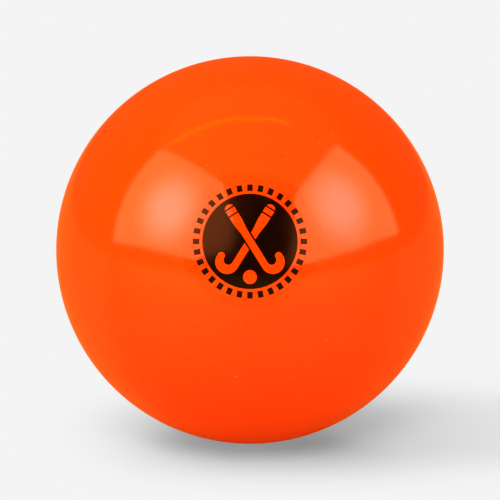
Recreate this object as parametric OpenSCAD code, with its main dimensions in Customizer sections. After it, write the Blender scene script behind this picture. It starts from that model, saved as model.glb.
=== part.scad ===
// Smooth field hockey ball with a round mark printed on a slightly flatter seat.
// The origin is the centre of the ball, +Z is up as the ball lies and the seat looks along -Y.

/* [Ball] */
// Diameter of the ball
ball_d = 73; // [71.3:0.1:74.8]

/* [Print seat] */
// Diameter of the round seat, which is a little flatter than the ball
seat_d = 25; // [20:0.5:32]
// How much lower the seat's middle lies than the ball's surface would
seat_depth = 0.05; // [0.03:0.01:0.3]
// How far up the seat faces from level, as the ball lies
seat_tilt = 17; // [0:1:80]

/* [Printed mark] */
// Thickness of the ink
ink_t = 0.04; // [0.02:0.01:0.05]
// Bare ring between the seat's rim and the mark
mark_margin = 2.2; // [1:0.1:3]
// How far the mark is printed below the middle of the seat
mark_drop = 0.3; // [0:0.1:0.8]
// Number of ticks around the mark
tick_count = 32; // [16:4:40]
// Length of a tick
tick_l = 1.2; // [0.6:0.1:2]
// Width of a tick
tick_w = 1; // [0.4:0.1:1.2]
// Gap between the ticks and the disc
tick_gap = 0.5; // [0.3:0.1:1]

/* [Crossed sticks] */
// Angle of each stick from upright
stick_lean = 32; // [24:1:40]
// Least black between a stick's end and the edge of the disc
stick_margin = 0.9; // [0.6:0.1:2]
// Width of a stick's shaft and hook
shaft_w = 1.3; // [0.9:0.1:1.6]
// Radius of a stick's hook, at the middle of its width
hook_r = 1.5; // [1.2:0.1:1.8]
// How much thicker the head is than the shaft, at its lowest point
head_extra = 0.4; // [0:0.1:0.8]
// Width of a stick's grip
grip_w = 1.8; // [1:0.1:2.4]
// Length of a stick's grip without its taper
grip_l = 2.6; // [2:0.1:4]
// Length over which a grip narrows to the shaft
grip_taper_l = 2.2; // [0.5:0.1:2.5]
// Width of the two black bands that cross a grip
grip_band_w = 0.3; // [0.2:0.05:0.5]
// Black line that parts the front stick from the back one
stick_gap = 0.35; // [0.2:0.05:0.6]
// Diameter of the small ball below the crossing
motif_ball_d = 2.5; // [1.5:0.1:3]

/* [Hidden] */
$fn = 144;

// The seat is part of a slightly larger sphere, which meets the ball's at the seat's rim
ball_r = ball_d / 2;
seat_r = seat_d / 2;
seat_top_z = ball_r - seat_depth;
seat_rise = seat_top_z - sqrt(pow(ball_r, 2) - pow(seat_r, 2));
seat_sphere_r = (pow(seat_r, 2) + pow(seat_rise, 2)) / (2 * seat_rise);
seat_sphere_z = seat_top_z - seat_sphere_r;

// The mark's rings, worked inwards from the seat's rim
mark_r = seat_r - mark_margin;
tick_inner_r = mark_r - tick_l;
disc_r = tick_inner_r - tick_gap;

// Places along a stick, measured from the crossing, which is the middle of the disc
stick_reach = disc_r - stick_margin;
hook_outer_r = hook_r + shaft_w / 2;
bend_y = head_extra - sqrt(pow(stick_reach - hook_outer_r, 2) - pow(hook_r, 2));
grip_top_y = stick_reach - grip_w / 2;
grip_bottom_y = grip_top_y - grip_l;
taper_bottom_y = grip_bottom_y - grip_taper_l;

// Turns +Z to the way the seat faces
module facing_seat() {
  rotate([90 - seat_tilt, 0, 0]) children();
}

// The seat's sphere, grown outwards by grow
module seat_sphere(grow = 0) {
  facing_seat() translate([0, 0, seat_sphere_z]) sphere(r = seat_sphere_r + grow);
}

// The larger sphere holds the whole ball but for the low cap that it cuts off
module ball() {
  color("#fe550c") intersection() {
    sphere(r = ball_r);
    seat_sphere();
  }
}

// A ring of short ticks, cut to two circles
module ticks() {
  intersection() {
    difference() {
      circle(r = mark_r);
      circle(r = tick_inner_r);
    }
    for (i = [0 : tick_count - 1]) {
      rotate(i * 360 / tick_count) translate([-tick_w / 2, 0]) square([tick_w, seat_r]);
    }
  }
}

// The straight part of a stick, widened on both sides by grow
module shaft(grow = 0) {
  width = shaft_w + 2 * grow;
  translate([-width / 2, bend_y]) square([width, grip_bottom_y - bend_y]);
}

// The head: half a ring, thicker below, that turns up to a round toe
module hook() {
  translate([hook_r, bend_y]) {
    difference() {
      union() {
        translate([0, -head_extra]) circle(r = hook_outer_r);
        translate([-hook_outer_r, -head_extra]) square([2 * hook_outer_r, head_extra]);
      }
      circle(r = hook_r - shaft_w / 2);
      translate([-hook_outer_r, 0]) square([2 * hook_outer_r, hook_outer_r]);
    }
    translate([hook_r, 0]) circle(d = shaft_w);
  }
}

// A round-topped grip that narrows to the shaft, crossed by two bands
module grip() {
  difference() {
    union() {
      polygon([
        [-shaft_w / 2, taper_bottom_y],
        [shaft_w / 2, taper_bottom_y],
        [grip_w / 2, grip_bottom_y],
        [grip_w / 2, grip_top_y],
        [-grip_w / 2, grip_top_y],
        [-grip_w / 2, grip_bottom_y]
      ]);
      translate([0, grip_top_y]) circle(d = grip_w);
    }
    for (part = [0, 1]) {
      translate([-grip_w, grip_top_y - part * grip_l / 2]) square([2 * grip_w, grip_band_w]);
    }
  }
}

module stick() {
  shaft();
  hook();
  grip();
}

// Two crossed sticks with a small ball below them, where the disc is left bare
module bare_motif() {
  rotate(stick_lean) stick();
  difference() {
    mirror([1, 0]) rotate(stick_lean) stick();
    rotate(stick_lean) shaft(grow = stick_gap);
  }
  translate([0, -stick_reach + motif_ball_d / 2]) circle(d = motif_ball_d);
}

module mark_outline() {
  ticks();
  difference() {
    circle(r = disc_r);
    bare_motif();
  }
}

module printed_mark() {
  color("#1a0802") intersection() {
    facing_seat() translate([0, -mark_drop, 0]) linear_extrude(height = ball_d) mark_outline();
    difference() {
      seat_sphere(grow = ink_t);
      seat_sphere();
    }
  }
}

ball();
printed_mark();
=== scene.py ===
"""Looks of a glossy orange field hockey ball, with a round black mark printed on a flatter seat."""

import logging
import math
from dataclasses import dataclass, field
from enum import Enum
from typing import Any

import bpy
from bpy.types import Material, Mesh, Node, NodeSocket, NodeTree, Object
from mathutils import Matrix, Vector
from mathutils.geometry import delaunay_2d_cdt
from mathutils.kdtree import KDTree


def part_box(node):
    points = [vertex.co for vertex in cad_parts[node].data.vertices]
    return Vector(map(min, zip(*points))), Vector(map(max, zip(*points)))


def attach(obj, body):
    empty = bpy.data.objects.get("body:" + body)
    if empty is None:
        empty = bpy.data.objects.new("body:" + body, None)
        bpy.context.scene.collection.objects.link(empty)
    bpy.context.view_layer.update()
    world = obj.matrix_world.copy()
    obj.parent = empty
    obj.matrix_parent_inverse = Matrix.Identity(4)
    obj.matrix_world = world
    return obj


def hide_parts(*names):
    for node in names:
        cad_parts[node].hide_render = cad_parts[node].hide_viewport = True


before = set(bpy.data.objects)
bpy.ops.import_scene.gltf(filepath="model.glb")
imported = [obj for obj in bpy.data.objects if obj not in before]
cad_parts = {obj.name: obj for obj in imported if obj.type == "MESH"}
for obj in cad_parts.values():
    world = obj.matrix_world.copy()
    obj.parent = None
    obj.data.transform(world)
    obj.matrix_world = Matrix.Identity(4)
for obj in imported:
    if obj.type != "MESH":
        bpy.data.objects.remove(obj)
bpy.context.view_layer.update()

MM = 0.001
TURN = 2 * math.pi

# Edges that bend more than this are shown crisp
SHARP_BEND = math.radians(30)

# Most values of a noise texture lie between these two
NOISE_RANGE = (0.3, 0.7)

# The node and its setting for each operation that isn't one of the plain sums
OPERATIONS: dict[str, tuple[str, dict[str, str]]] = {
    "CLAMP": ("ShaderNodeClamp", {}),
    "COLOUR_MIX": ("ShaderNodeMix", {"data_type": "RGBA"}),
    "MAPPING": ("ShaderNodeMapping", {"vector_type": "TEXTURE"}),
    "NOISE": ("ShaderNodeTexNoise", {}),
    "VECTOR": ("ShaderNodeCombineXYZ", {}),
    "VECTOR_ADD": ("ShaderNodeVectorMath", {"operation": "ADD"}),
    "VECTOR_SUBTRACT": ("ShaderNodeVectorMath", {"operation": "SUBTRACT"}),
    **{
        name: ("ShaderNodeVectorMath", {"operation": name})
        for name in ("DISTANCE", "DOT_PRODUCT", "LENGTH", "NORMALIZE", "SCALE")
    },
    **{
        name: ("ShaderNodeMapRange", {"interpolation_type": name})
        for name in ("LINEAR", "SMOOTHSTEP", "SMOOTHERSTEP")
    },
}

log = logging.getLogger("field_hockey_ball")


class CadNode(Enum):
    """The frame's nodes."""

    BALL = "ball"
    MARK = "printed_mark"


class Slot(Enum):
    """The record's material slots."""

    ORANGE_PVC = "orange_pvc"
    BLACK_INK = "black_ink"


class Seen(Enum):
    """Which rays meet a piece of the studio."""

    BY_ALL = "all"
    BY_GLOSS = "gloss"


def linear(hex_colour: str) -> tuple[float, float, float, float]:
    """Turns an sRGB colour into the linear one that shaders work in.

    Args:
        hex_colour: The colour as "#rrggbb".

    Returns:
        Linear red, green and blue, and an alpha of 1.
    """
    parts = [int(hex_colour[i : i + 2], 16) / 255 for i in (1, 3, 5)]
    red, green, blue = (p / 12.92 if p <= 0.04045 else ((p + 0.055) / 1.055) ** 2.4 for p in parts)
    return red, green, blue, 1.0


def direction(azimuth: float, elevation: float) -> Vector:
    """Gives the way to something seen from the ball.

    Args:
        azimuth: Degrees from the camera's side, -Y, towards +X.
        elevation: Degrees above level.

    Returns:
        A vector of length 1.
    """
    a, e = math.radians(azimuth), math.radians(elevation)
    return Vector((math.sin(a) * math.cos(e), -math.cos(a) * math.cos(e), math.sin(e)))


def add_node(
    tree: NodeTree, kind: str, inputs: tuple[Any, ...] | dict[str, Any] = (), **settings: Any
) -> Node:
    """Adds one node to a tree, with its settings, values and links.

    Args:
        tree: The tree that gets the node.
        kind: Blender's name for the kind of node.
        inputs: What the node's open inputs take, in their order or by name. Each takes a value, a
            socket, a node, which feeds it from its first open output, or a list of these.
        **settings: Values of the node's own properties.

    Returns:
        The new node.
    """
    node = tree.nodes.new(kind)
    for name, value in settings.items():
        setattr(node, name, value)
    sockets = [socket for socket in node.inputs if socket.enabled]
    named = {socket.name: socket for socket in sockets}
    for key, value in inputs.items() if isinstance(inputs, dict) else enumerate(inputs):
        socket = named[key] if isinstance(key, str) else sockets[key]
        for source in value if isinstance(value, list) else [value]:
            if isinstance(source, Node):
                source = next(output for output in source.outputs if output.enabled)
            if isinstance(source, NodeSocket):
                tree.links.new(source, socket)
            else:
                socket.default_value = source
    return node


def work_out(
    tree: NodeTree, steps: tuple[tuple[Any, ...], ...], given: dict[str, Any] | None = None
) -> dict[str, Any]:
    """Writes a calculation into a tree, one node for each step.

    Args:
        tree: The tree that gets the nodes.
        steps: For each step its name, its operation and its terms. A term in quotes is the name of
            something given or of an earlier step.
        given: What the steps can use by name.

    Returns:
        What was given and the node of each step, by name.
    """
    found = dict(given or {})
    for name, operation, *terms in steps:
        kind, settings = OPERATIONS.get(operation, ("ShaderNodeMath", {"operation": operation}))
        values = tuple(found[term] if isinstance(term, str) else term for term in terms)
        found[name] = add_node(tree, kind, values, **settings)
    return found


def new_material(name: str) -> tuple[Material, NodeTree]:
    """Makes a material with an empty node tree.

    Args:
        name: The material's name.

    Returns:
        The new material and its tree.
    """
    material = bpy.data.materials.new(name)
    material.use_nodes = True
    material.node_tree.nodes.clear()
    return material, material.node_tree


def put_in_scene(name: str, data: Any) -> Object:
    """Makes an object and links it to the scene.

    Args:
        name: The object's name.
        data: Its mesh, lamp or camera.

    Returns:
        The object, at the origin.
    """
    item = bpy.data.objects.new(name, data)
    bpy.context.scene.collection.objects.link(item)
    return item


def aim(item: Object, azimuth: float, elevation: float, distance: float) -> None:
    """Moves a lamp or the camera away from the ball and turns it to face the ball.

    Args:
        item: The lamp or the camera.
        azimuth: Degrees from the camera's side, -Y, towards +X.
        elevation: Degrees above level.
        distance: How far off it stands, in metres.
    """
    away = direction(azimuth, elevation)
    item.location = away * distance
    item.rotation_mode = "QUATERNION"
    item.rotation_quaternion = away.to_track_quat("Z", "Y")


def shape_tree(name: str, sizes: dict[str, float]) -> tuple[NodeTree, dict[str, Any]]:
    """Starts a Geometry Nodes tree with one named input for each size.

    Args:
        name: The tree's name.
        sizes: The inputs' names, with a value of each one's kind.

    Returns:
        The tree, and its inputs by name.
    """
    tree = bpy.data.node_groups.new(name, "GeometryNodeTree")
    tree.interface.new_socket("Geometry", in_out="INPUT", socket_type="NodeSocketGeometry")
    for label, value in sizes.items():
        kind = "NodeSocketInt" if isinstance(value, int) else "NodeSocketFloat"
        tree.interface.new_socket(label, in_out="INPUT", socket_type=kind)
    tree.interface.new_socket("Geometry", in_out="OUTPUT", socket_type="NodeSocketGeometry")
    given = add_node(tree, "NodeGroupInput")
    return tree, {socket.name: socket for socket in given.outputs if socket.name}


def finish_tree(tree: NodeTree, shape: Node, turn: NodeSocket, material: Material) -> None:
    """Ends a Geometry Nodes tree: turns its shape to the seat's side, smooths it and dresses it.

    Args:
        tree: The tree.
        shape: The node that gives the shape, with the seat's axis along +Z.
        turn: The socket that gives the turn about X.
        material: The shape's finish.
    """
    lean = add_node(tree, "ShaderNodeCombineXYZ", (turn,))
    facing = add_node(tree, "GeometryNodeTransform", {"Geometry": shape, "Rotation": lean})
    smooth = add_node(tree, "GeometryNodeSetShadeSmooth", (facing,))
    bend = add_node(tree, "GeometryNodeInputMeshEdgeAngle")
    sharp = add_node(tree, "ShaderNodeMath", (bend, SHARP_BEND), operation="GREATER_THAN")
    crisp = add_node(tree, "GeometryNodeSetShadeSmooth", (smooth, sharp, False), domain="EDGE")
    real = add_node(tree, "GeometryNodeRealizeInstances", (crisp,))
    dressed = add_node(tree, "GeometryNodeSetMaterial", {"Geometry": real, "Material": material})
    add_node(tree, "NodeGroupOutput", (dressed,))


def shaped_piece(name: str, start: Mesh, tree: NodeTree, sizes: dict[str, float]) -> Object:
    """Runs a Geometry Nodes tree and keeps its result as a plain mesh.

    Args:
        name: The piece's name.
        start: The mesh that the tree begins with.
        tree: The tree.
        sizes: The value of each named input.

    Returns:
        The piece, at the origin, with no modifier left on it.
    """
    carrier = put_in_scene(f"{name}_start", start)
    modifier = carrier.modifiers.new("shape", "NODES")
    modifier.node_group = tree
    for item in tree.interface.items_tree:
        if item.in_out == "INPUT" and item.name in sizes:
            modifier[item.identifier] = sizes[item.name]
    graph = bpy.context.evaluated_depsgraph_get()
    evaluated = carrier.evaluated_get(graph)
    mesh = bpy.data.meshes.new_from_object(evaluated, preserve_all_data_layers=True, depsgraph=graph)
    mesh.name = name
    while mesh.materials[0] is None:
        mesh.materials.pop(index=0)
    carrier.modifiers.remove(modifier)
    bpy.data.objects.remove(carrier)
    return put_in_scene(name, mesh)


def hand_over(piece: Object, node: CadNode) -> None:
    """Puts a finished piece in place of its CAD node and reports it.

    Args:
        piece: The piece.
        node: The CAD node that it stands for.
    """
    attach(piece, "root")
    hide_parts(node.value)
    piece.visible_diffuse = False
    triangles = sum(len(face.vertices) - 2 for face in piece.data.polygons)
    log.info("%s: %d triangles, %s", piece.name, triangles, piece.data.materials[0].name)


@dataclass(frozen=True)
class Blemish:
    """A small mark of use on the ball: a scratch, a speck or a smudge.

    Its place and turn are in degrees, its length and width in millimetres.
    """

    azimuth: float
    elevation: float
    length: float
    width: float
    turn: float
    colour: str
    strength: float


@dataclass(frozen=True)
class Pattern:
    """An irregular pattern in a material: the size of its patches, and how much finer detail they have."""

    size: float
    detail: float
    fineness: float = 0.5

    @property
    def terms(self) -> tuple[float, float, float]:
        """The pattern as a noise step takes it."""
        return 1 / self.size, self.detail, self.fineness


@dataclass(frozen=True)
class MouldedPvc:
    """PVC with a fluorescent pigment, moulded in a polished tool: bright orange under a wet-looking gloss.

    The pigment turns blue and green light into red. Here that is a painted red glow, the same in light and
    in shade, which keeps the shaded side bright and not dull.
    """

    name: str = "pvc_moulded_orange"
    colour: str = "#ff4002"
    # Painted: the seat's deeper orange stands in for the faint veil of reflected light that the hazier
    # gloss gives the rest of the ball
    seat_colour_painted_darker: str = "#ff3c00"
    mottle_colour: str = "#ff4604"
    mottle: Pattern = Pattern(11 * MM, 3.0, 0.6)
    speckle_colour: str = "#ff5c06"
    speckle_strength: float = 0.42
    # Real grains of pigment are far finer, and these are as coarse as they need to be to show
    speckle: Pattern = Pattern(0.45 * MM, 2.0, 0.7)
    # Painted glow: an even red emission from no lamp, which lifts the shaded side
    painted_glow_colour: str = "#ff1800"
    glow: float = 0.44
    ior: float = 1.54
    roughness: tuple[float, float] = (0.1, 0.14)
    seat_roughness: float = 0.08
    haze: Pattern = Pattern(1.4 * MM, 4.0, 0.55)
    ripple: Pattern = Pattern(2.6 * MM, 2.0)
    ripple_height: float = 0.0006 * MM

    def material(self, blemishes: tuple[Blemish, ...], radius: float) -> Material:
        """Builds the finish: drifts and grains of pigment, marks of use, a painted deeper tone in the
        seat, haze, a faint ripple and a painted red glow.

        Args:
            blemishes: The marks of use to draw on it.
            radius: The ball's radius in metres, which places them.

        Returns:
            The material.
        """
        material, tree = new_material(self.name)
        place = add_node(tree, "ShaderNodeTexCoord").outputs["Object"]
        seat = add_node(tree, "ShaderNodeAttribute", attribute_name="in_seat").outputs["Fac"]
        layers = [
            ("drifts", self.mottle_colour),
            # The seat's painted deeper tone
            (seat, self.seat_colour_painted_darker),
            ("grains", self.speckle_colour),
            *((self._cover(tree, place, mark, radius), mark.colour) for mark in blemishes),
        ]
        steps = (
            ("drifts", "NOISE", place, *self.mottle.terms),
            ("speckle", "NOISE", place, *self.speckle.terms),
            ("grains", "LINEAR", "speckle", *NOISE_RANGE, 0.0, self.speckle_strength),
            *(("colour", "COLOUR_MIX", cover, "colour", linear(shade)) for cover, shade in layers),
            ("haze", "NOISE", place, *self.haze.terms),
            ("hazy", "LINEAR", "haze", *NOISE_RANGE, *self.roughness),
            ("roughness", "LINEAR", seat, 0.0, 1.0, "hazy", self.seat_roughness),
            ("ripple", "NOISE", place, *self.ripple.terms),
        )
        found = work_out(tree, steps, {"colour": linear(self.colour)})
        bump = {"Height": found["ripple"], "Strength": 1.0, "Distance": self.ripple_height}
        shader = add_node(
            tree,
            "ShaderNodeBsdfPrincipled",
            {
                "Base Color": found["colour"],
                "Roughness": found["roughness"],
                "IOR": self.ior,
                # The painted red glow, the same in light and in shade
                "Emission Color": linear(self.painted_glow_colour),
                "Emission Strength": self.glow,
                "Normal": add_node(tree, "ShaderNodeBump", bump),
            },
        )
        add_node(tree, "ShaderNodeOutputMaterial", (shader,))
        return material

    def _cover(self, tree: NodeTree, place: NodeSocket, mark: Blemish, radius: float) -> Node:
        """Works out how far one mark of use covers each point of the ball.

        Args:
            tree: The material's tree.
            place: The socket that gives a point on the ball.
            mark: The mark of use.
            radius: The ball's radius in metres.

        Returns:
            The node that gives the share covered.
        """
        outward = direction(mark.azimuth, mark.elevation)
        turned = outward.to_track_quat("Z", "Y").to_euler()
        lengthwise = (0.0, 0.0, math.radians(mark.turn))
        half = Vector((mark.length, mark.width, mark.length)) * MM / 2
        steps = (
            ("centred", "MAPPING", place, outward * radius, turned),
            ("sized", "MAPPING", "centred", (0.0, 0.0, 0.0), lengthwise, half),
            ("away", "LENGTH", "sized"),
            ("cover", "SMOOTHSTEP", "away", 0.0, 1.0, mark.strength, 0.0),
        )
        return work_out(tree, steps)["cover"]


@dataclass(frozen=True)
class PrintedInk:
    """Solvent ink pad-printed on the orange: near black, with a satin skin.

    The film is thin enough for the orange to warm it, so even its sheen is brown.
    """

    name: str = "ink_pad_printed_black"
    colour: str = "#120400"
    thin_colour: str = "#180702"
    sheen_colour: str = "#ff9c8e"
    ior: float = 1.5
    roughness: tuple[float, float] = (0.15, 0.2)
    patches: Pattern = Pattern(4 * MM, 5.0, 0.65)
    grain: Pattern = Pattern(0.5 * MM, 2.0)
    grain_height: float = 0.0004 * MM

    def material(self) -> Material:
        """Builds the finish: a film with thinner patches and a fine grain.

        Returns:
            The material.
        """
        material, tree = new_material(self.name)
        place = add_node(tree, "ShaderNodeTexCoord").outputs["Object"]
        steps = (
            ("patches", "NOISE", place, *self.patches.terms),
            ("film", "COLOUR_MIX", "patches", linear(self.colour), linear(self.thin_colour)),
            ("satin", "LINEAR", "patches", *NOISE_RANGE, *self.roughness),
            ("grain", "NOISE", place, *self.grain.terms),
        )
        found = work_out(tree, steps)
        bump = {"Height": found["grain"], "Strength": 1.0, "Distance": self.grain_height}
        shader = add_node(
            tree,
            "ShaderNodeBsdfPrincipled",
            {
                "Base Color": found["film"],
                "Roughness": found["satin"],
                "IOR": self.ior,
                "Specular Tint": linear(self.sheen_colour),
                "Normal": add_node(tree, "ShaderNodeBump", bump),
            },
        )
        add_node(tree, "ShaderNodeOutputMaterial", (shader,))
        return material


@dataclass
class Ball:
    """The moulded ball, turned about the axis of its round seat, which is a little flatter than the ball.

    A faint line runs round the seat, where the insert that moulded it met the rest of the tool.
    """

    seat_r: float = 12.5 * MM
    seat_depth: float = 0.05 * MM
    line_w: float = 0.3 * MM
    line_depth: float = 0.0015 * MM
    seat_tilt: float = 17.0
    segments: int = 288
    rings: int = 200
    seat_rows: float = 0.2
    line_rows: float = 0.08
    weld: float = 0.001 * MM
    finish: MouldedPvc = MouldedPvc()
    blemishes: tuple[Blemish, ...] = (
        Blemish(-15.6, 38.4, length=0.95, width=0.34, turn=70.0, colour="#ff8040", strength=0.55),
        Blemish(23.1, -13.7, length=1.25, width=0.3, turn=-45.0, colour="#ff9058", strength=0.75),
        Blemish(-4.6, -25.2, length=0.4, width=0.4, turn=0.0, colour="#ffb090", strength=1.0),
        Blemish(18.0, -52.0, length=1.5, width=1.0, turn=10.0, colour="#ff6838", strength=0.9),
        Blemish(-79.7, 41.2, length=2.4, width=1.0, turn=0.0, colour="#981000", strength=1.0),
        Blemish(12.3, 41.7, length=0.7, width=0.4, turn=75.0, colour="#a81400", strength=1.0),
        Blemish(29.2, 45.0, length=2.6, width=1.3, turn=35.0, colour="#ff6400", strength=0.35),
        Blemish(36.8, 47.1, length=2.2, width=0.7, turn=20.0, colour="#ff6400", strength=0.35),
    )

    @property
    def radius(self) -> float:
        """The ball's radius, as the frame has it."""
        low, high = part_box(CadNode.BALL.value)
        return (high.x - low.x) / 2

    @property
    def seat_sphere_r(self) -> float:
        """The radius of the sphere that the seat is part of."""
        rise = self.radius - self.seat_depth - math.sqrt(self.radius**2 - self.seat_r**2)
        return (self.seat_r**2 + rise**2) / (2 * rise)

    @property
    def seat_sphere_z(self) -> float:
        """How far that sphere's centre lies from the ball's, along the seat's axis."""
        return self.radius - self.seat_depth - self.seat_sphere_r

    def build(self) -> None:
        """Makes and dresses the ball."""
        sizes = {
            "Ball radius": self.radius,
            "Seat sphere radius": self.seat_sphere_r,
            "Seat sphere height": self.seat_sphere_z,
            "Line inner angle": math.asin((self.seat_r - self.line_w / 2) / self.radius),
            "Line outer angle": math.asin((self.seat_r + self.line_w / 2) / self.radius),
            "Line depth": self.line_depth,
            "Seat turn": math.radians(90 - self.seat_tilt),
            "Segments": self.segments,
            "Rings": self.rings,
        }
        piece = shaped_piece("moulded_ball", bpy.data.meshes.new("ball_start"), self._tree(sizes), sizes)
        hand_over(piece, CadNode.BALL)

    def _tree(self, sizes: dict[str, float]) -> NodeTree:
        """Writes the rule of the ball's form: a sheet rolled up, with rows from the seat to the far pole.

        Args:
            sizes: The named sizes that the tree takes.

        Returns:
            The tree.
        """
        tree, given = shape_tree("turned_ball", sizes)
        here = add_node(tree, "GeometryNodeInputPosition")
        sheet_x, sheet_y, _ = add_node(tree, "ShaderNodeSeparateXYZ", (here,)).outputs
        inner, outer = given["Line inner angle"], given["Line outer angle"]
        line_row = self.seat_rows + self.line_rows
        steps = (
            ("columns", "ADD", "Segments", 1.0),
            ("rows", "ADD", "Rings", 1.0),
            # The flat sheet runs from -0.5 to 0.5 each way
            ("column", "ADD", sheet_x, 0.5),
            ("round", "MULTIPLY", "column", TURN),
            ("row", "ADD", sheet_y, 0.5),
            # The angle from the seat's axis, with rows enough in the seat and on the line
            ("line span", "SUBTRACT", outer, inner),
            ("far span", "SUBTRACT", math.pi, outer),
            ("in seat", "LINEAR", "row", 0.0, self.seat_rows, 0.0, inner),
            ("on line", "LINEAR", "row", self.seat_rows, line_row, 0.0, "line span"),
            ("beyond", "LINEAR", "row", line_row, 1.0, 0.0, "far span"),
            ("up to line", "ADD", "in seat", "on line"),
            ("angle", "ADD", "up to line", "beyond"),
            ("sine", "SINE", "angle"),
            ("cosine", "COSINE", "angle"),
            # How far out the seat's sphere lies at that angle, seen from the ball's centre
            ("sideways", "MULTIPLY", "Seat sphere height", "sine"),
            ("ahead", "MULTIPLY", "Seat sphere height", "cosine"),
            ("radius squared", "POWER", "Seat sphere radius", 2.0),
            ("sideways squared", "POWER", "sideways", 2.0),
            ("rest squared", "SUBTRACT", "radius squared", "sideways squared"),
            ("rest", "SQRT", "rest squared"),
            ("seat reach", "ADD", "ahead", "rest"),
            # The faint line is a groove with a round bottom
            ("crossing", "LINEAR", "angle", inner, outer, 0.0, math.pi),
            ("bulge", "SINE", "crossing"),
            ("groove", "MULTIPLY", "Line depth", "bulge"),
            ("skin", "MINIMUM", "Ball radius", "seat reach"),
            ("reach", "SUBTRACT", "skin", "groove"),
            ("across", "MULTIPLY", "reach", "sine"),
            ("round cosine", "COSINE", "round"),
            ("round sine", "SINE", "round"),
            ("x", "MULTIPLY", "across", "round cosine"),
            ("y", "MULTIPLY", "across", "round sine"),
            ("z", "MULTIPLY", "reach", "cosine"),
            ("place", "VECTOR", "x", "y", "z"),
            ("seat share", "LINEAR", "angle", inner, outer, 1.0, 0.0),
        )
        found = work_out(tree, steps, given)
        sheet = add_node(tree, "GeometryNodeMeshGrid", (1.0, 1.0, found["columns"], found["rows"]))
        marked = add_node(
            tree,
            "GeometryNodeStoreNamedAttribute",
            {"Geometry": sheet, "Name": "in_seat", "Value": found["seat share"]},
            data_type="FLOAT",
            domain="POINT",
        )
        bent = add_node(tree, "GeometryNodeSetPosition", {"Geometry": marked, "Position": found["place"]})
        welded = add_node(tree, "GeometryNodeMergeByDistance", {"Geometry": bent, "Distance": self.weld})
        outwards = add_node(tree, "GeometryNodeFlipFaces", (welded,))
        material = self.finish.material(self.blemishes, self.radius)
        finish_tree(tree, outwards, found["Seat turn"], material)
        return tree


def circle(centre: Vector, radius: float, steps: int = 144) -> list[Vector]:
    """Points round a circle.

    Args:
        centre: Its middle.
        radius: Its radius.
        steps: How many points it has.

    Returns:
        The points, anticlockwise.
    """
    angles = (TURN * i / steps for i in range(steps))
    return [centre + radius * Vector((math.cos(a), math.sin(a))) for a in angles]


def rectangle(low: tuple[float, float], high: tuple[float, float]) -> list[Vector]:
    """The corners of an upright rectangle, anticlockwise from its low left corner."""
    return [Vector(low), Vector((high[0], low[1])), Vector(high), Vector((low[0], high[1]))]


def split(loop: list[Vector], longest: float) -> list[Vector]:
    """Adds points to a closed loop until no side of it is long.

    Args:
        loop: The corners.
        longest: The length that no side is to pass.

    Returns:
        The loop with its new points.
    """
    points = []
    for i, start in enumerate(loop):
        way = loop[(i + 1) % len(loop)] - start
        parts = math.ceil(way.length / longest)
        points += [start + way * (j / parts) for j in range(parts)]
    return points


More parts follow.
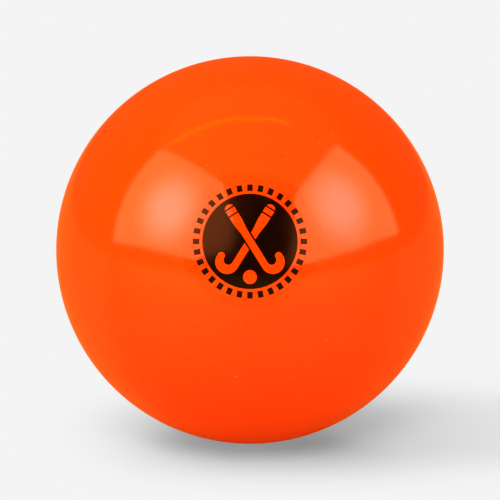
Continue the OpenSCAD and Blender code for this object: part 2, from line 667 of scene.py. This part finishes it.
@dataclass(frozen=True)
class Stick:
    """One hockey stick of the mark, in millimetres.

    It crosses the other one at the origin and hangs along -Y.
    """

    reach: float
    lean: float
    mirrored: bool
    shaft_w: float = 1.3
    hook_r: float = 1.5
    head_extra: float = 0.4
    grip_w: float = 1.8
    grip_l: float = 2.6
    grip_taper_l: float = 2.2
    band_w: float = 0.3

    @property
    def hook_outer_r(self) -> float:
        """The radius of the hook's outer side."""
        return self.hook_r + self.shaft_w / 2

    @property
    def bend_y(self) -> float:
        """Where the shaft ends and the hook starts."""
        return self.head_extra - math.sqrt((self.reach - self.hook_outer_r) ** 2 - self.hook_r**2)

    @property
    def grip_top_y(self) -> float:
        """The middle of the grip's round top."""
        return self.reach - self.grip_w / 2

    @property
    def grip_bottom_y(self) -> float:
        """Where the grip starts to narrow."""
        return self.grip_top_y - self.grip_l

    @property
    def bands(self) -> tuple[float, float]:
        """The lower sides of the two bands that cross the grip."""
        return self.grip_top_y, self.grip_top_y - self.grip_l / 2

    def placed(self, point: Vector) -> Vector:
        """Carries a point of the upright stick to its place in the mark.

        Args:
            point: The point on the upright stick.

        Returns:
            The point in the mark.
        """
        a = math.radians(self.lean)
        x = point.x * math.cos(a) - point.y * math.sin(a)
        y = point.x * math.sin(a) + point.y * math.cos(a)
        return Vector((-x if self.mirrored else x, y))

    def upright(self, point: Vector) -> Vector:
        """Carries a point of the mark back to the upright stick.

        Args:
            point: The point in the mark.

        Returns:
            The point on the upright stick.
        """
        a = math.radians(self.lean)
        x = -point.x if self.mirrored else point.x
        return Vector((x * math.cos(a) + point.y * math.sin(a), point.y * math.cos(a) - x * math.sin(a)))

    def outlines(self) -> list[list[Vector]]:
        """Gives every line that bounds some part of the stick.

        Returns:
            Closed loops of points, in the mark.
        """
        half, grip_half = self.shaft_w / 2, self.grip_w / 2
        bend = Vector((self.hook_r, self.bend_y))
        toe = Vector((2 * self.hook_r, self.bend_y))
        head_y = self.bend_y - self.head_extra
        left_x, right_x = bend.x - self.hook_outer_r, bend.x + self.hook_outer_r
        taper_y = self.grip_bottom_y - self.grip_taper_l
        grip = (
            (-half, taper_y), (half, taper_y), (grip_half, self.grip_bottom_y),
            (grip_half, self.grip_top_y), (-grip_half, self.grip_top_y), (-grip_half, self.grip_bottom_y),
        )
        loops = [
            rectangle((-half, self.bend_y), (half, self.grip_bottom_y)),
            circle(bend - Vector((0, self.head_extra)), self.hook_outer_r),
            rectangle((left_x, head_y), (right_x, bend.y)),
            circle(bend, self.hook_r - half),
            circle(toe, half),
            [Vector(corner) for corner in grip],
            circle(Vector((0, self.grip_top_y)), grip_half),
        ]
        loops += [rectangle((-self.grip_w, y), (self.grip_w, y + self.band_w)) for y in self.bands]
        return [[self.placed(p) for p in loop] for loop in loops]

    def has_shaft(self, point: Vector, grow: float = 0.0) -> bool:
        """Says if a point of the mark lies on the shaft, or within grow beside it."""
        p = self.upright(point)
        return abs(p.x) < self.shaft_w / 2 + grow and self.bend_y < p.y < self.grip_bottom_y

    def holds(self, point: Vector) -> bool:
        """Says if a point of the mark lies on the stick.

        Args:
            point: The point.

        Returns:
            True on the shaft, the hook, its toe or the grip between its bands.
        """
        p = self.upright(point)
        half = self.shaft_w / 2
        bend = Vector((self.hook_r, self.bend_y))
        below_bend = p.y < bend.y
        outer = (p - bend + Vector((0, self.head_extra))).length < self.hook_outer_r
        cheek = abs(p.x - bend.x) < self.hook_outer_r and p.y > bend.y - self.head_extra
        hook = below_bend and (outer or cheek) and (p - bend).length > self.hook_r - half
        toe = (p - Vector((2 * self.hook_r, bend.y))).length < half
        narrow = min(max((self.grip_bottom_y - p.y) / self.grip_taper_l, 0), 1)
        grip_half = self.grip_w / 2 + (half - self.grip_w / 2) * narrow
        taper_y = self.grip_bottom_y - self.grip_taper_l
        grip = abs(p.x) < grip_half and taper_y < p.y < self.grip_top_y
        top = (p - Vector((0, self.grip_top_y))).length < self.grip_w / 2
        banded = any(y < p.y < y + self.band_w for y in self.bands)
        return self.has_shaft(point) or hook or toe or ((grip or top) and not banded)


@dataclass
class PrintedMark:
    """The ink: a disc with two crossed sticks and a ball left bare, ringed by ticks.

    Its sizes are in millimetres.
    """

    ball: Ball
    ink_t: float = 0.04
    margin: float = 2.2
    drop: float = 0.3
    tick_count: int = 32
    tick_l: float = 1.2
    tick_w: float = 1.0
    tick_gap: float = 0.5
    tick_net: tuple[int, int] = (5, 4)
    stick_lean: float = 32.0
    stick_margin: float = 0.9
    stick_gap: float = 0.35
    motif_ball_d: float = 2.5
    net_pitch: float = 0.55
    finish: PrintedInk = PrintedInk()

    @property
    def mark_r(self) -> float:
        """The radius of the whole mark."""
        return self.ball.seat_r / MM - self.margin

    @property
    def tick_inner_r(self) -> float:
        """The radius of the ticks' inner ends."""
        return self.mark_r - self.tick_l

    @property
    def disc_r(self) -> float:
        """The radius of the disc."""
        return self.tick_inner_r - self.tick_gap

    def build(self) -> None:
        """Makes and dresses the mark."""
        sizes = {
            "Seat sphere radius": self.ball.seat_sphere_r,
            "Seat sphere height": self.ball.seat_sphere_z,
            "Ink thickness": self.ink_t * MM,
            "Mark drop": self.drop * MM,
            "Tick length": self.tick_l * MM,
            "Tick width": self.tick_w * MM,
            "Tick inner radius": self.tick_inner_r * MM,
            "Seat turn": math.radians(90 - self.ball.seat_tilt),
            "Tick count": self.tick_count,
        }
        piece = shaped_piece("ink_mark", self._disc(), self._tree(sizes), sizes)
        piece.visible_shadow = False
        hand_over(piece, CadNode.MARK)

    def _disc(self) -> Mesh:
        """Draws the flat disc with its bare motif, in metres.

        Returns:
            The mesh, with a net of points fine enough to be laid on the ball.
        """
        reach = self.disc_r - self.stick_margin
        front = Stick(reach, self.stick_lean, mirrored=False)
        back = Stick(reach, self.stick_lean, mirrored=True)
        small_ball = Vector((0, -reach + self.motif_ball_d / 2))
        parting = front.shaft_w / 2 + self.stick_gap
        gap = rectangle((-parting, front.bend_y), (parting, front.grip_bottom_y))
        loops = [
            circle(Vector((0, 0)), self.disc_r),
            circle(small_ball, self.motif_ball_d / 2),
            [front.placed(p) for p in gap],
            *front.outlines(),
            *back.outlines(),
        ]
        loops = [split(loop, self.net_pitch / 2) for loop in loops]
        points = [p for loop in loops for p in loop]
        near = KDTree(len(points))
        for i, p in enumerate(points):
            near.insert(p.to_3d(), i)
        near.balance()
        lines, first = [], 0
        for loop in loops:
            lines += [(first + i, first + (i + 1) % len(loop)) for i in range(len(loop))]
            first += len(loop)
        steps = int(self.disc_r / self.net_pitch) + 1
        net = [
            Vector((i * self.net_pitch, j * self.net_pitch))
            for i in range(-steps, steps + 1)
            for j in range(-steps, steps + 1)
        ]
        points += [
            p for p in net if p.length < self.disc_r and near.find(p.to_3d())[2] > self.net_pitch / 2
        ]
        spots, _, faces, *_ = delaunay_2d_cdt(points, lines, [], 0, self.net_pitch / 1000)

        def is_inked(corners: list[int]) -> bool:
            """Says if a triangle belongs to the black.

            Args:
                corners: The numbers of its corners.

            Returns:
                True if its middle lies in the disc and off the motif.
            """
            middle = sum((spots[c] for c in corners), Vector((0, 0))) / len(corners)
            on_back = back.holds(middle) and not front.has_shaft(middle, self.stick_gap)
            on_ball = (middle - small_ball).length < self.motif_ball_d / 2
            return middle.length < self.disc_r and not (front.holds(middle) or on_back or on_ball)

        inked = [face for face in faces if is_inked(face)]
        used = sorted({corner for face in inked for corner in face})
        number = {corner: i for i, corner in enumerate(used)}
        flat = bpy.data.meshes.new("flat_disc")
        flat.from_pydata(
            [(spots[c].x * MM, spots[c].y * MM, 0) for c in used],
            [],
            [[number[corner] for corner in face] for face in inked],
        )
        return flat

    def _tree(self, sizes: dict[str, float]) -> NodeTree:
        """Writes the rule that rings the disc with ticks and lays the print on the seat.

        Args:
            sizes: The named sizes that the tree takes.

        Returns:
            The tree.
        """
        tree, given = shape_tree("print_on_seat", sizes)
        here = add_node(tree, "GeometryNodeInputPosition")
        x, y, _ = add_node(tree, "ShaderNodeSeparateXYZ", (here,)).outputs
        steps = (
            # A tick is a bar whose ends follow circles about the mark's middle
            ("tick share", "ADD", y, 0.5),
            ("along", "MULTIPLY", "tick share", "Tick length"),
            ("far", "ADD", "Tick inner radius", "along"),
            ("far squared", "POWER", "far", 2.0),
            ("x squared", "POWER", x, 2.0),
            ("y squared", "SUBTRACT", "far squared", "x squared"),
            ("height", "SQRT", "y squared"),
            ("tick place", "VECTOR", x, "height"),
            ("tick pitch", "DIVIDE", TURN, "Tick count"),
            ("tick angle", "MULTIPLY", add_node(tree, "GeometryNodeInputIndex"), "tick pitch"),
            ("tick turn", "VECTOR", 0.0, 0.0, "tick angle"),
            ("lower", "MULTIPLY", "Mark drop", -1.0),
            ("drop", "VECTOR", 0.0, "lower"),
            # The flat print rises to the seat's sphere and thickens away from that sphere's centre
            ("radius squared", "POWER", "Seat sphere radius", 2.0),
            ("out squared", "DOT_PRODUCT", here, here),
            ("up squared", "SUBTRACT", "radius squared", "out squared"),
            ("above", "SQRT", "up squared"),
            ("level", "ADD", "above", "Seat sphere height"),
            ("rise", "VECTOR", 0.0, 0.0, "level"),
            ("centre", "VECTOR", 0.0, 0.0, "Seat sphere height"),
            ("from centre", "VECTOR_SUBTRACT", here, "centre"),
            ("outward", "NORMALIZE", "from centre"),
            ("top radius", "ADD", "Seat sphere radius", "Ink thickness"),
            ("to top", "SCALE", "outward", "top radius"),
            ("top", "VECTOR_ADD", "centre", "to top"),
        )
        found = work_out(tree, steps, given)
        bar = add_node(tree, "GeometryNodeMeshGrid", (found["Tick width"], 1.0, *self.tick_net))
        arched = add_node(
            tree, "GeometryNodeSetPosition", {"Geometry": bar, "Position": found["tick place"]}
        )
        points = add_node(tree, "GeometryNodePoints", (found["Tick count"],))
        ticks = add_node(
            tree,
            "GeometryNodeInstanceOnPoints",
            {"Points": points, "Instance": arched, "Rotation": found["tick turn"]},
        )
        real_ticks = add_node(tree, "GeometryNodeRealizeInstances", (ticks,))
        flat = add_node(tree, "GeometryNodeJoinGeometry", ([found["Geometry"], real_ticks],))
        placed = add_node(tree, "GeometryNodeSetPosition", {"Geometry": flat, "Offset": found["drop"]})
        bottom = add_node(tree, "GeometryNodeSetPosition", {"Geometry": placed, "Offset": found["rise"]})
        upwards = {"Offset": found["outward"], "Offset Scale": found["Ink thickness"], "Individual": False}
        raised = add_node(tree, "GeometryNodeExtrudeMesh", {"Mesh": bottom, **upwards}, mode="FACES")
        level = add_node(
            tree,
            "GeometryNodeSetPosition",
            {"Geometry": raised, "Selection": raised.outputs["Top"], "Position": found["top"]},
        )
        underside = add_node(tree, "GeometryNodeFlipFaces", (bottom,))
        closed = add_node(tree, "GeometryNodeJoinGeometry", ([underside, level],))
        welded = add_node(
            tree, "GeometryNodeMergeByDistance", {"Geometry": closed, "Distance": self.ball.weld}
        )
        finish_tree(tree, welded, found["Seat turn"], self.finish.material())
        return tree


def stage_piece(
    name: str, points: list[Any], faces: list[tuple[int, ...]], material: Material, seen: Seen
) -> None:
    """Makes a piece of the studio, which may glow but isn't one of the lamps.

    Args:
        name: The piece's name.
        points: The corners of its mesh, in metres.
        faces: The numbers of each face's corners.
        material: Its finish.
        seen: Which rays meet it.
    """
    mesh = bpy.data.meshes.new(name)
    mesh.from_pydata(points, [], faces)
    mesh.materials.append(material)
    material.cycles.emission_sampling = "NONE"
    piece = put_in_scene(name, mesh)
    if seen is Seen.BY_GLOSS:
        for rays in ("camera", "diffuse", "shadow", "transmission", "volume_scatter"):
            setattr(piece, f"visible_{rays}", False)
    log.info("%s: part of the studio", name)


@dataclass
class Softbox:
    """A big lit cloth at the front, as the ball reflects it: brightest at its middle."""

    name: str
    corners: tuple[tuple[float, float], ...]
    hot_spot: tuple[float, float]
    hot_light: float
    edge_light: float
    spread: float
    hot_colour: str = "#ffd4b7"
    edge_colour: str = "#ffd484"
    distance: float = 6.0

    def build(self) -> None:
        """Makes the cloth."""
        middle = direction(*self.hot_spot)
        rays = [direction(*corner) for corner in self.corners]
        points = [p * self.distance for p in (middle, *(ray / ray.dot(middle) for ray in rays))]
        faces = [(0, i, i % len(rays) + 1) for i in range(1, len(rays) + 1)]
        stage_piece(self.name, points, faces, self._material(points[0]), Seen.BY_GLOSS)

    def _material(self, middle: Vector) -> Material:
        """Builds the finish: white cloth with a lamp behind its middle, which fades to the edges.

        Args:
            middle: Where the lamp shines through.

        Returns:
            The material.
        """
        material, tree = new_material(f"{self.name}_cloth")
        place = add_node(tree, "ShaderNodeTexCoord").outputs["Object"]
        steps = (
            ("away", "DISTANCE", place, middle),
            ("fade", "SMOOTHERSTEP", "away", 0.0, self.spread * self.distance, 0.0, 1.0),
            ("light", "LINEAR", "fade", 0.0, 1.0, self.hot_light, self.edge_light),
            ("cloth", "COLOUR_MIX", "fade", linear(self.hot_colour), linear(self.edge_colour)),
        )
        found = work_out(tree, steps)
        glow = add_node(tree, "ShaderNodeEmission", (found["cloth"], found["light"]))
        add_node(tree, "ShaderNodeOutputMaterial", (glow,))
        return material


@dataclass
class LitRim:
    """The thin lit rim of something overhead, which the ball reflects as an arc."""

    name: str
    path: tuple[tuple[float, float], ...]
    width: float
    light: float
    colour: str
    distance: float = 5.9

    def build(self) -> None:
        """Makes the rim, a ribbon that faces the ball."""
        rays = [direction(*way) for way in self.path]
        half = math.tan(math.radians(self.width / 2))
        points = []
        for i, ray in enumerate(rays):
            onwards = rays[min(i + 1, len(rays) - 1)] - rays[max(i - 1, 0)]
            aside = ray.cross(onwards).normalized() * half
            points += [(ray - aside) * self.distance, (ray + aside) * self.distance]
        faces = [(i, i + 1, i + 3, i + 2) for i in range(0, 2 * len(rays) - 2, 2)]
        material, tree = new_material(f"{self.name}_metal_lit")
        glow = add_node(tree, "ShaderNodeEmission", (linear(self.colour), self.light))
        add_node(tree, "ShaderNodeOutputMaterial", (glow,))
        stage_piece(self.name, points, faces, material, Seen.BY_GLOSS)


@dataclass
class Lamp:
    """A soft lamp that gives light and no reflection.

    Its light of 1 turns a white card that faces it white. A fill lamp stands for cloths so big and near
    that no shadow of theirs can be made out.
    """

    name: str
    azimuth: float
    elevation: float
    light: float
    width: float = 2.6
    height: float = 2.6
    distance: float = 6.0
    is_fill: bool = False

    def build(self) -> None:
        """Makes the lamp and turns it to the ball."""
        data = bpy.data.lights.new(self.name, "AREA")
        data.shape = "RECTANGLE"
        data.size, data.size_y = self.width, self.height
        data.energy = self.light * math.pi**2 * self.distance**2
        data.use_shadow = not self.is_fill
        data.cycles.use_multiple_importance_sampling = False
        lamp = put_in_scene(self.name, data)
        aim(lamp, self.azimuth, self.elevation, self.distance)
        lamp.visible_glossy = False
        lamp.visible_camera = False
        log.info("%s: lamp", self.name)


@dataclass
class Studio:
    """The pale floor, the dim room that gloss sees, the lamps and the camera."""

    ball_r: float
    camera_elevation: float = 14.0
    camera_distance: float = 0.8
    camera_lens: float = 305.7
    camera_sensor: float = 36.0
    camera_clip: tuple[float, float] = (0.05, 20.0)
    floor_colour: str = "#dcdcdc"
    floor_glow: float = 0.145
    # Painted shade and painted red bounce light in the paper as gloss sees it, by distance in front of the
    # ball
    floor_painted_shade_in_gloss: tuple[tuple[float, str], ...] = (
        (0.01, "#c07e30"), (0.12, "#c02800"), (1.0, "#a0a638"),
    )
    gloss_reach: float = 240 * MM
    floor_size: float = 1.1
    paper_fade: tuple[float, float] = (10 * MM, 45 * MM)
    paper_shift: float = 3 * MM
    paper_reach: float = 110 * MM
    backdrop_colour: str = "#f4f4f4"
    room_colour: str = "#ff9548"
    room_light: float = 0.03
    room_back: tuple[float, float] = (0.0, 0.8)
    room_back_light: float = 0.35
    room_top: tuple[float, float] = (0.6, 0.9)
    room_top_light: float = 0.79
    lamps: tuple[Lamp, ...] = field(
        default_factory=lambda: (
            Lamp("overhead_cloth", 0.0, 89.0, 1.007, width=12.0, height=12.0),
            Lamp("front_lamp", 0.0, 40.0, 0.316),
            Lamp("front_fill", 25.0, 32.0, 0.36, is_fill=True),
            Lamp("left_cloth", -80.0, 40.0, 0.286, width=3.0, height=5.0),
            Lamp("left_strip", -84.0, 6.0, 0.398, width=1.6, height=1.6),
            Lamp("back_lamp", 180.0, 22.0, 0.393),
        )
    )

    def build(self) -> None:
        """Makes the whole studio."""
        self._floor()
        self._world()
        self._softboxes()
        self._lit_rim()
        for lamp in self.lamps:
            lamp.build()
        self._camera()

    def _floor(self) -> None:
        """Makes the pale matt paper, on which the ball's shadow falls.

        The camera sees a faint glow in it, and sees it pass into the even backdrop away from the
        shadow, which runs out from the ball towards +X.
        """
        material, tree = new_material("paper_matt_pale")
        rays = add_node(tree, "ShaderNodeLightPath").outputs
        place = add_node(tree, "ShaderNodeTexCoord").outputs["Object"]
        x, y, _ = add_node(tree, "ShaderNodeSeparateXYZ", (place,)).outputs
        # The paper's painted shade and red bounce light, seen only in gloss
        in_gloss = self._painted_shade_in_gloss(tree, y)
        steps = (
            ("colour", "COLOUR_MIX", rays["Is Glossy Ray"], linear(self.floor_colour), in_gloss),
            ("glow", "MULTIPLY", rays["Is Camera Ray"], self.floor_glow),
            ("along", "CLAMP", x, 0.0, self.paper_reach),
            ("beside", "SUBTRACT", x, "along"),
            ("behind", "SUBTRACT", y, self.paper_shift),
            ("off", "VECTOR", "beside", "behind"),
            ("away", "LENGTH", "off"),
            ("passed", "SMOOTHSTEP", "away", *self.paper_fade, 0.0, 1.0),
            ("shown", "MULTIPLY", "passed", rays["Is Camera Ray"]),
        )
        found = work_out(tree, steps)
        paper = add_node(tree, "ShaderNodeBsdfDiffuse", (found["colour"],))
        glow = add_node(tree, "ShaderNodeEmission", {"Strength": found["glow"]})
        both = add_node(tree, "ShaderNodeAddShader", (paper, glow))
        pale = add_node(tree, "ShaderNodeEmission", (linear(self.backdrop_colour),))
        faded = add_node(tree, "ShaderNodeMixShader", (found["shown"], both, pale))
        add_node(tree, "ShaderNodeOutputMaterial", (faded,))
        half, low = self.floor_size, -self.ball_r
        corners = [(-half, -half, low), (half, -half, low), (half, half, low), (-half, half, low)]
        stage_piece("floor", corners, [(0, 1, 2, 3)], material, Seen.BY_ALL)

    def _painted_shade_in_gloss(self, tree: NodeTree, y: NodeSocket) -> Node:
        """Works out the paper's colour as the ball reflects it.

        Close in front of the ball it is painted dark and red: a painted shade, with painted red light
        where the ball's own colour would fill that shade. Further out it turns paler.

        Args:
            tree: The paper's tree.
            y: The socket that gives a point's place from front to back.

        Returns:
            The node that gives the colour.
        """
        in_front = add_node(
            tree, "ShaderNodeMath", (y, -self.gloss_reach), operation="DIVIDE", use_clamp=True
        )
        colours = add_node(tree, "ShaderNodeValToRGB", (in_front,))
        stops = colours.color_ramp.elements
        stops[1].color = linear(self.floor_painted_shade_in_gloss[-1][1])
        for share, shade in self.floor_painted_shade_in_gloss[:-1]:
            stops.new(share).color = linear(shade)
        stops.remove(stops[0])
        return colours

    def _world(self) -> None:
        """Makes the room, dark in front and dim behind and above, and the pale backdrop.

        Only gloss sees the room, and the camera sees the backdrop.
        """
        world = bpy.data.worlds.new("studio")
        world.use_nodes = True
        tree = world.node_tree
        tree.nodes.clear()
        way = add_node(tree, "ShaderNodeTexCoord").outputs["Generated"]
        _, back, up = add_node(tree, "ShaderNodeSeparateXYZ", (way,)).outputs
        rays = add_node(tree, "ShaderNodeLightPath").outputs
        steps = (
            ("behind", "SMOOTHSTEP", back, *self.room_back, self.room_light, self.room_back_light),
            ("above", "SMOOTHSTEP", up, *self.room_top, self.room_light, self.room_top_light),
            ("dim", "MAXIMUM", "behind", "above"),
            ("by gloss", "MULTIPLY", "dim", rays["Is Glossy Ray"]),
            ("by camera", "MAXIMUM", rays["Is Camera Ray"], rays["Is Transmission Ray"]),
        )
        found = work_out(tree, steps)
        room = add_node(tree, "ShaderNodeBackground", (linear(self.room_colour), found["by gloss"]))
        pale = add_node(tree, "ShaderNodeBackground", (linear(self.backdrop_colour),))
        both = add_node(tree, "ShaderNodeMixShader", (found["by camera"], room, pale))
        add_node(tree, "ShaderNodeOutputWorld", (both,))
        bpy.context.scene.world = world

    def _softboxes(self) -> None:
        """Makes the two softboxes, by the directions in which the ball reflects them."""
        left_corners = (
            (-99.5, 47.9), (-89.1, 4.0), (-63.5, 7.4), (-40.2, 7.0), (-32.0, 7.0),
            (-12.2, 13.5), (-10.0, 21.1), (-10.0, 28.2), (-16.7, 41.9), (-23.0, 51.1),
        )
        right_corners = (
            (102.1, 50.0), (100.1, 4.0), (82.4, 6.5), (34.4, 4.6), (21.2, 4.2),
            (25.8, 16.1), (28.8, 28.1), (33.5, 41.4), (35.8, 43.4),
        )
        Softbox("left_softbox", left_corners, (-57.0, 30.0), 8.6, 2.77, spread=0.53).build()
        Softbox("right_softbox", right_corners, (63.5, 29.5), 7.5, 2.7, spread=0.55).build()

    def _lit_rim(self) -> None:
        """Makes the arc over the softboxes, by the directions in which the ball reflects it."""
        path = (
            (-98.4, 50.6), (-100.9, 58.7), (-103.0, 62.9), (-107.1, 66.9), (-111.8, 72.2), (-123.2, 76.7),
            (-144.0, 80.5), (-178.6, 82.2), (154.1, 81.2), (136.2, 78.8), (123.9, 75.3), (114.3, 71.2),
        )
        LitRim("lit_rim", path, width=2.0, light=2.3, colour="#ffd800").build()

    def _camera(self) -> None:
        """Sets up the camera, at the height and with the narrow angle of the photograph."""
        data = bpy.data.cameras.new("camera")
        data.lens = self.camera_lens
        data.sensor_width = self.camera_sensor
        data.clip_start, data.clip_end = self.camera_clip
        camera = put_in_scene("camera", data)
        aim(camera, 0.0, self.camera_elevation, self.camera_distance)
        bpy.context.scene.camera = camera


def main() -> None:
    """Builds the ball, its mark and the studio."""
    logging.basicConfig(level=logging.INFO, format="%(name)s: %(message)s")
    ball = Ball()
    ball.build()
    PrintedMark(ball).build()
    Studio(ball.radius).build()
    bpy.context.scene.view_settings.view_transform = "Standard"


if __name__ == "__main__":
    main()
